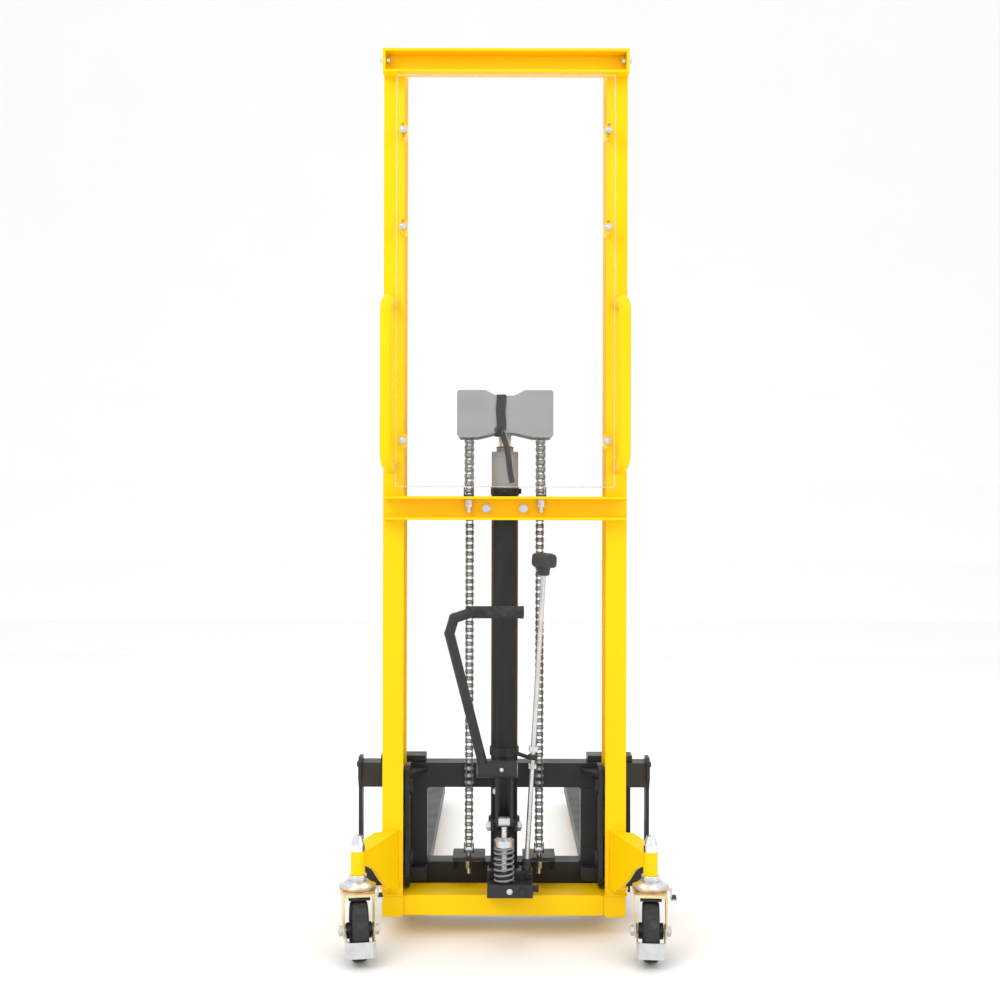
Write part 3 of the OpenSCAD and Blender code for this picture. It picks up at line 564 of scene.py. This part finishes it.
def small_hardware():
    """Screws, bolts and plugs that finish the frame and the pump."""
    build = Build()
    for _, s in SIDES:
        for z in (1104, 1574, 1787):
            build.lathe(
                [
                    (0.0052, -0.0006), (0.0050, 0.0010), (0.0036, 0.0019), (0.0018, 0.0021),
                    (0.0018, 0.0004), (0, 0.0004),
                ],
                at(s * 225, -46.0, z), (0, -1, 0), 24,
            )
    build.make("small_screws_mast", ZINC, "mast", "zinc_steel")
    build = Build()
    for x, z in ((-29, 146), (54, 146), (-29, 103)):
        build.lathe(
            [(0.0062, 0), (0.0062, 0.0052), (0.0056, 0.006), (0.0034, 0.006), (0.0034, 0.0022), (0, 0.0022)],
            at(x, -22, z), (0, -1, 0), 24,
        )
    build.make("pump_cap_screws", BLACK, "mast", "black_paint")
    build = Build()
    build.lathe(
        [
            (0.0045, 0), (0.0045, 0.004), (0.003, 0.005), (0.003, 0.009), (0.0042, 0.011),
            (0.0018, 0.015), (0, 0.015),
        ],
        at(0, 4.4, 994), (0, -1, 0), 20,
    )
    build.lathe(
        [(0.0193, 0), (0.0193, 0.0015), (0.0178, 0.0030), (0.0148, 0.0034), (0.01455, 0.0034)],
        at(0, 36, 1091), (0, 0, 1), 40,
    )
    build.make("gland_wiper_ring", NYLON, "mast", "black_plastic")
    build = Build()
    for s in (-1, 1):
        place = at(s * 29.6, -5, 250)
        build.prism(hex_outline(0.0196), 0, 0.0078, facing(place, (s, 0, 0)))
        build.lathe([(0.0060, 0.007), (0.0060, 0.0095), (0.0050, 0.0105), (0, 0.0105)], place, (s, 0, 0), 24)
    bolt(build, at(12, -71.9, 123), (0, -1, 0), 0.009, 0.005)
    build.make("lever_pivot_nuts", ZINC, "mast", "zinc_steel")
    build = Build()
    build.lathe(
        [
            (0.0098, -0.0150), (0.0108, -0.0140), (0.0108, -0.0040), (0.0098, -0.0025), (0.0106, -0.0005),
            (0.0106, 0.0080), (0.0092, 0.0100), (0.0057, 0.0104),
        ],
        ROD_FOOT, (ROD_HEAD - ROD_FOOT).normalized(), 40,
    )
    build.make("release_rod_gland", BLACK, "mast", "black_paint")


def chain_clevises(name, anchors, body, reach):
    """Forked ends that join both chains to their anchors; reach is how far they are from the wheels' axle."""
    build = Build()
    y, z = mid("sheave_left").y * 1000 - MAST_Y * 1000 + reach * 1000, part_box(anchors)[1][2] * 1000
    for _, s in SIDES:
        for x0, x1 in ((-11.3, -8.1), (8.1, 11.3)):
            build.slab((s * 80 + x0, y - 6.4, z - 21), (s * 80 + x1, y + 6.4, z + 0.4))
        build.slab((s * 80 - 11.3, y - 6.4, z - 21), (s * 80 + 11.3, y + 6.4, z - 15.3))
    build.make(name, CHAIN, body, "chain_steel")


def pump_spring():
    """Coil with flat ground ends, between the pump barrel and the plunger's cap."""
    centre = mid("pump_spring")
    wire = 0.0022                                   # radius
    low, high = 0.1372 + wire, 0.2158 - wire
    turns, r = 7.0, 0.0205
    closed, lay = 0.75, 0.004                       # turns that lie flat at each end, and what they rise
    path = []
    for k in range(int(turns * 28) + 1):
        t = k / (turns * 28)
        rise = min(max((t * turns - closed) / (turns - 2 * closed), 0), 1)
        dead = lay * (min(t * turns, closed) / closed) + lay * max(t * turns - turns + closed, 0) / closed
        z = low + dead + (high - low - 2 * lay) * rise
        a = 2 * math.pi * turns * t
        path.append((centre.x + r * math.cos(a), centre.y + r * math.sin(a), z))
    build = Build()
    build.tube(path, wire, 12)
    piece = build.make("pump_return_spring", GREY_PAINT, None, "black_paint")
    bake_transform(piece)
    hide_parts("pump_spring")


def link_outline(height, waist, n=9):
    """Figure-of-eight plate outline, (across, along), from one pin to the next."""
    r = height / 2
    points = [(r * math.cos(a), PITCH + r * math.sin(a)) for a in [k * math.pi / n for k in range(n + 1)]]
    points += [(-waist / 2, PITCH / 2)]
    points += [(-r * math.cos(a), -r * math.sin(a)) for a in [k * math.pi / n for k in range(n + 1)]]
    points += [(waist / 2, PITCH / 2)]
    return points


OUTER = link_outline(0.0132, 0.0100)
INNER = link_outline(0.0146, 0.0108)
ROLLER = [(0.0049, -0.0046), (0.0051, -0.0042), (0.0051, 0.0042), (0.0049, 0.0046)]      # (radius, along)
LINK_PIN = [(0.0020, -0.0102), (0.0026, -0.0096), (0.0026, 0.0096), (0.0020, 0.0102)]


def add_link(plates, pins, x, a, b, inner):
    """One chain link between joints a and b, given as (y, z)."""
    along = Vector((0, b[0] - a[0], b[1] - a[1])).normalized()
    across = Vector((1, 0, 0)).cross(along)
    place = Matrix((
        (0, 0, 1, x),
        (across.y, along.y, 0, a[0]),
        (across.z, along.z, 0, a[1]),
        (0, 0, 0, 1),
    ))
    span = (0.0048, 0.0068) if inner else (0.0071, 0.0088)
    for s in (-1, 1):
        low, high = sorted((s * span[0], s * span[1]))
        plates.prism(INNER if inner else OUTER, low, high, place)
    for y, z in ((a, b) if inner else ()):
        joint = Vector((x, y, z))
        pins.lathe(ROLLER, joint, (1, 0, 0), 14)
        pins.lathe(LINK_PIN, joint, (1, 0, 0), 10)


def smoothstep(t):
    t = min(max(t, 0), 1)
    return t * t * (3 - 2 * t)


def unfold(target, start, end):
    """Rest height of a point that must reach target when the blend is fully open."""
    if target <= start:
        return target
    low, high = start, end + 0.01
    for _ in range(60):
        z = (low + high) / 2
        if z + LIFT * smoothstep((z - start) / (end - start)) < target:
            low = z
        else:
            high = z
    return (low + high) / 2


def strand_pieces(name, plates, pins, body=None):
    """The plates and the rollers of one stretch of chain, as two pieces."""
    return [
        plates.make(name + "_plates", CHAIN, body, "chain_steel"),
        pins.make(name + "_rollers", PIN, body, "chain_steel"),
    ]


def anchor_strand(side, axle, x, y):
    """From the anchor to the wheel: built at the length it has when raised, and folded up at rest."""
    plates, pins = Build(), Build()
    tail = axle.z - 10 * PITCH
    hide, top = axle.z - 0.040, axle.z
    for k in range(int(round((axle.z + LIFT - tail) / PITCH))):
        z = tail + k * PITCH
        add_link(plates, pins, x, (y, z), (y, z + PITCH), k % 2 == 0)
    for build in (plates, pins):
        build.verts = [Vector((v.x, v.y, unfold(v.z, hide, top))) for v in build.verts]
    for piece in strand_pieces("chain_%s_anchor" % side, plates, pins):
        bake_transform(piece)
        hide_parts("lift_chain_" + side)


def wheel_wrap(side, axle, x):
    """Half a turn round the wheel."""
    plates, pins = Build(), Build()
    joints = [
        (axle.y - WHEEL * math.cos(math.radians(18 * k)), axle.z + WHEEL * math.sin(math.radians(18 * k)))
        for k in range(11)
    ]
    for k in range(10):
        add_link(plates, pins, x, joints[k], joints[k + 1], k % 2 == 0)
    strand_pieces("chain_%s_wrap" % side, plates, pins, "ram")


def carriage_strand(side, axle, x, y):
    """From the wheel down to the carriage."""
    plates, pins = Build(), Build()
    for k in range(STRAND):
        low = axle.z - (k + 1) * PITCH
        add_link(plates, pins, x, (y, low + PITCH), (y, low), k % 2 == 0)
    for piece in strand_pieces("chain_%s_carriage" % side, plates, pins):
        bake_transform(piece)


def chains():
    """Each chain in three stretches: anchored strand, wrap on its wheel, and carriage strand."""
    for side, _ in SIDES:
        axle = mid("sheave_" + side)
        anchor_strand(side, axle, axle.x, axle.y - WHEEL)
        wheel_wrap(side, axle, axle.x)
        carriage_strand(side, axle, axle.x, axle.y + WHEEL)


def release_knob():
    """Six-lobed hand knob on its hub."""
    way = (ROD_HEAD - ROD_FOOT).normalized()

    def lobes(angle):
        return 1 + 0.085 * math.cos(6 * angle) - 0.02 * math.cos(12 * angle)

    build = Build()
    build.lathe(
        [(0.0105, -0.008), (0.0132, -0.0065), (0.0136, 0.004), (0.0150, 0.009), (0.0180, 0.0115)],
        ROD_HEAD, way, 40,
    )
    build.lathe(
        [
            (0.0160, 0.0105), (0.0225, 0.0108), (0.0255, 0.0130), (0.0265, 0.0180), (0.0265, 0.0300),
            (0.0255, 0.0350), (0.0230, 0.0380), (0.0180, 0.0395), (0.0140, 0.0398), (0.0132, 0.0385), (0, 0.0385),
        ],
        ROD_HEAD, way, 96, lobes,
    )
    piece = build.make("release_hand_knob", NYLON, "release", "black_plastic")
    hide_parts("release_knob")


def foot_bar():
    """Ribbed rubber sleeve on the foot lever's bar, and what is fixed to the lever lower down."""
    centre, sleeve = up_lever(0.528), up_lever(0.1473)
    build = Build()
    profile = []
    for k in range(26):
        h = -0.070 + k * 0.004
        profile += [(0.0124, h), (0.0130, h + 0.0010), (0.0130, h + 0.0026), (0.0124, h + 0.0036)]
    build.lathe([(0.0118, -0.072)] + profile + [(0.0118, 0.036)], centre, (1, 0, 0), 36)
    for x, s in ((-0.079, -1), (0.037, 1)):
        build.lathe(
            [(0.0132, -0.006), (0.0132, 0.0008), (0.0122, 0.0022), (0.006, 0.0026), (0, 0.0026)],
            centre + Vector((x, 0, 0)), (s, 0, 0), 32,
        )
    build.make("foot_bar_sleeve", TYRE, "pedal", "tyre_rubber")
    build = Build()
    for x, s in ((-0.059, -1), (0.028, 1)):
        build.lathe(
            [(0.0175, -0.001), (0.0180, 0.0006), (0.0130, 0.0008), (0.0125, 0.0002), (0, 0.0002)],
            sleeve + Vector((x, 0, 0)), (s, 0, 0), 36,
        )
    build.lathe(
        [
            (0.0045, 0), (0.0045, 0.003), (0.0026, 0.0045), (0.0026, 0.007), (0.0038, 0.009),
            (0.0012, 0.012), (0, 0.012),
        ],
        sleeve + Vector((-0.006, -0.0182, 0.002)), (0, -1, 0), 20,
    )
    bolt(build, up_lever(0.091) + Vector((-0.0195, 0, 0)), (-1, 0, 0), 0.011, 0.006)
    build.make("lever_grease_nipple", ZINC, "pedal", "zinc_steel")


def caster_race(side, pin):
    """Ball race under the bracket, with its retainer, and the cover and nut above it."""
    build = Build()
    for k in range(22):
        a = 2 * math.pi * k / 22
        ball = pin + Vector((0.0345 * math.cos(a), 0.0345 * math.sin(a), 0.1422))
        build.lathe(
            [(0.0, -0.0024), (0.0017, -0.0017), (0.0024, 0), (0.0017, 0.0017), (0.0, 0.0024)],
            ball, (0, 0, 1), 10,
        )
    build.lathe([(0.0388, 0.1431), (0.0394, 0.1437), (0.0394, 0.1452), (0.0388, 0.1459)], pin, (0, 0, 1), 56)
    build.make("caster_race_" + side, BRASS, "mast", "yellow_zinc")
    build = Build()
    build.lathe([(0.0192, 0.1590), (0.0196, 0.1600), (0.0196, 0.1690), (0.0184, 0.1706)], pin, (0, 0, 1), 40)
    build.lathe(
        [
            (0.0384, 0.1462), (0.0390, 0.1470), (0.0390, 0.1488), (0.0378, 0.1495), (0.0300, 0.1530),
            (0.0236, 0.1584), (0.0195, 0.1590),
        ],
        pin, (0, 0, 1), 56,
    )
    build.make("caster_race_cover_" + side, ZINC, "mast", "yellow_zinc")


def caster_crown(side, pin, axle):
    """Rim and rivets of the swivel fork, and the nuts on its axle."""
    build = Build()
    build.lathe([(0.0371, 0.1360), (0.0385, 0.1372), (0.0385, 0.1405), (0.0371, 0.1418)], pin, (0, 0, 1), 56)
    for x in (-1, 1):
        build.lathe(
            [(0.0100, 0), (0.0104, 0.0006), (0.0100, 0.0016), (0.0065, 0.0016)],
            axle + Vector((x * 0.0352, 0, 0)), (x, 0, 0), 28,
        )
        for y, z in ((-0.050, 0.128), (0.008, 0.128)):
            build.lathe(
                [(0.0035, 0), (0.0033, 0.0012), (0.0018, 0.0020), (0, 0.0021)],
                pin + Vector((x * 0.0345, y, z)), (x, 0, 0), 18,
            )
    build.spin(pin, TURN_IN[side])
    build.make("caster_crown_rim_" + side, GOLD, "caster_" + side, "yellow_zinc")
    build = Build()
    for x in (-1, 1):
        place = axle + Vector((x * 0.0350, 0, 0))
        build.prism(hex_outline(0.0196), 0, 0.0075, facing(place, (x, 0, 0)))
        build.lathe([(0.0060, 0.0070), (0.0060, 0.0085), (0.0050, 0.0095), (0, 0.0095)], place, (x, 0, 0), 24)
    build.spin(pin, TURN_IN[side])
    build.make("caster_axle_nuts_" + side, ZINC, "caster_" + side, "zinc_steel")


def caster_wheel(side, pin, axle):
    """Ten ribs, rim bead and hub ring on each face of the wheel, and the ring in the tyre's wall."""
    build = Build()
    rib = [(-0.0014, 0.0165), (0.0014, 0.0165), (0.0014, 0.0405), (-0.0014, 0.0405)]
    upright = Matrix(((0, 0, 1, 0), (1, 0, 0, 0), (0, 1, 0, 0), (0, 0, 0, 1)))
    for x in (-1, 1):
        face = Matrix.Translation(axle + Vector((x * 0.0078, 0, 0)))
        low, high = sorted((x * -0.0006, x * 0.0070))
        for k in range(10):
            build.prism(rib, low, high, face @ Matrix.Rotation(2 * math.pi * k / 10, 4, "X") @ upright)
        build.lathe(
            [(0.0405, 0), (0.0412, 0.0006), (0.0455, 0.0006), (0.0460, 0)],
            axle + Vector((x * 0.0160, 0, 0)), (x, 0, 0), 56,
        )
        build.lathe(
            [(0.0168, -0.001), (0.0168, 0.0006), (0.0150, 0.0010), (0.0090, 0.0010)],
            axle + Vector((x * 0.0254, 0, 0)), (x, 0, 0), 36,
        )
    build.spin(pin, TURN_IN[side])
    build.make("wheel_ribs_" + side, NYLON, "wheel_" + side, "black_plastic")
    build = Build()
    for x in (-1, 1):
        build.lathe(
            [(0.0552, 0), (0.0558, 0.0009), (0.0572, 0.0009), (0.0578, 0)],
            axle + Vector((x * 0.0168, 0, 0)), (x, 0, 0), 72,
        )
    build.spin(pin, TURN_IN[side])
    build.make("tyre_wall_rings_" + side, TYRE, "wheel_" + side, "tyre_rubber")


def brake_shoe(side, pin):
    """Grip bars on the brake's pedal, and the pad over the tyre."""
    build = Build()
    for k in range(5):
        place = pin + Vector((0.0505, 0.017 + k * 0.007, 0.1152))
        build.tube([place + Vector((-0.0055, 0, 0)), place + Vector((0.0055, 0, 0))], 0.0010, 8)
    outline = [(-0.0226, -0.0546), (0.0226, -0.0546), (0.0226, 0.004), (-0.0226, 0.004)]
    build.prism(outline, 0.1288, 0.1334, Matrix.Translation(pin))
    build.spin(pin, TURN_IN[side])
    build.make("brake_shoe_pad_" + side, BLACK, "brake_" + side, "black_paint")


def caster_details():
    for side, s in SIDES:
        pin = Vector((s * CASTER_X, MAST_Y - CASTER_Y, 0))
        axle = pin + Vector((0, -TRAIL, AXLE_Z))
        caster_race(side, pin)
        caster_crown(side, pin, axle)
        caster_wheel(side, pin, axle)
        brake_shoe(side, pin)


def carriage_details():
    for side, s in SIDES:
        for level, z in (("low", 165), ("high", 325)):
            build = Build()
            face = at(s * 228, 58, z)
            build.lathe([(0.0470, 0), (0.0476, 0.0004), (0.0476, 0.0010), (0.0150, 0.0010)], face, (-s, 0, 0), 56)
            build.lathe([(0.0210, 0), (0.0210, 0.0018), (0.0190, 0.0024), (0.0130, 0.0024)], face, (-s, 0, 0), 36)
            end = "%s_%s" % (level, side)
            build.make("roller_shield_" + end, ZINC, "mast_roller_" + end, "zinc_steel")
        build = Build()
        for z in (96, 356):
            bolt(build, at(s * 338, 158, z), (s, 0, 0), 0.012, 0.006)
        build.make("end_plate_bolts_" + side, BLACK, "carriage", "black_paint")
        build = Build()
        for x in (-1, 1):
            build.lathe(
                [(0.0340, 0), (0.0345, 0.0004), (0.0330, 0.0010), (0.0180, 0.0010), (0.0165, 0.0004)],
                at(s * ROLLER_X + x * 22, 1262, 37), (x, 0, 0), 48,
            )
        build.make("load_roller_rims_" + side, NYLON, "load_roller_" + side, "black_plastic")
        build = Build()
        for x in (-1, 1):
            end = at(s * ROLLER_X + x * 31.6, 1262, 37)
            build.lathe([(0.0096, 0), (0.0096, 0.0009), (0.0070, 0.0015), (0, 0.0015)], end, (x, 0, 0), 28)
        build.make("load_axle_ends_" + side, ZINC, "mast", "zinc_steel")


def ribbon(build, path, width, thick, side=(1, 0, 0)):
    """A flat strap of constant width along a path; side gives its width direction."""
    path = [Vector(p) for p in path]
    side = Vector(side).normalized()
    verts, faces = [], []
    for i, p in enumerate(path):
        way = (path[min(i + 1, len(path) - 1)] - path[max(i - 1, 0)]).normalized()
        out = side.cross(way).normalized()
        across = way.cross(out).normalized()
        for u in (-1, -0.5, 0, 0.5, 1):
            verts.append(p + across * (u * width / 2) + out * thick / 2)
        for u in (1, 0.5, 0, -0.5, -1):
            verts.append(p + across * (u * width / 2) - out * thick / 2)
    for i in range(len(path) - 1):
        for k in range(10):
            n = (k + 1) % 10
            faces.append((i * 10 + k, i * 10 + n, (i + 1) * 10 + n, (i + 1) * 10 + k))
    faces.append(tuple(reversed(range(10))))
    faces.append(tuple((len(path) - 1) * 10 + k for k in range(10)))
    build.add(verts, faces, True)


def head_strap():
    """Webbing pulled tight round the waist of the head, knotted below, with a loose tail."""
    build = Build()
    x = -9
    band = []
    for k in range(13):
        band.append(at(x + 1.0 * math.sin(k * 0.7), -33.0 - 0.6 * math.sin(k * 0.9), 1128 + k * 6.2))
    band += [at(x, -31, 1205.6), at(x, -20, 1206.2), at(x, 36, 1206.8), at(x, 92, 1206.2), at(x, 105, 1205.0)]
    band += [at(x, 105.6, 1190), at(x, 105.8, 1160), at(x, 105.2, 1124), at(x, 98, 1119.6), at(x, 88, 1119.4)]
    ribbon(build, band, 0.021, 0.0016)
    knot = [
        at(-16 + 6 * math.sin(t * 2.1), -34.5 - 2.2 * math.cos(t * 1.3), 1123 + 7 * math.sin(t))
        for t in [k * 0.42 for k in range(16)]
    ]
    build.tube(knot, 0.0036, 10)
    tail = [
        at(-8 + 27 * t + 3 * math.sin(t * 5), -34.8 - 1.4 * math.sin(t * 4), 1124 - 112 * t)
        for t in [k / 18 for k in range(19)]
    ]
    ribbon(build, tail, 0.0125, 0.0015, (0.97, 0, 0.24))
    piece = build.make("head_tie_strap", STRAP, "ram", "webbing")
    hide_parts("head_strap")


def guard_edges():
    """Polished edge strip round the clear panel, where light gathers."""
    build = Build()
    low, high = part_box("guard_panel")
    y = (low[1] + high[1]) / 2
    c = [(low[0], low[2]), (high[0], low[2]), (high[0], high[2]), (low[0], high[2])]
    for k in range(4):
        a, b = c[k], c[(k + 1) % 4]
        build.tube([(a[0], y, a[1]), (b[0], y, b[1])], 0.0012, 6)
    n = Nodes("panel edge")
    tint = n.mix(n.noise(40, 3), rgb(0.55, 0.60, 0.60), rgb(0.75, 0.80, 0.80))
    n.set(Base_Color=tint, Roughness=0.15, Alpha=0.5, Transmission_Weight=0.4)
    build.make("guard_panel_edge", n.material, "mast", "clear_guard")


make_camera()
make_studio()
dress_cad_nodes()
mast_welds()
carriage_welds()
small_hardware()
chain_clevises("carriage_chain_clevises", "carriage_anchors", "carriage", WHEEL)
chain_clevises("mast_chain_clevises", "mast_chain_anchors", "mast", -WHEEL)
pump_spring()
chains()
release_knob()
foot_bar()
caster_details()
carriage_details()
head_strap()
guard_edges()
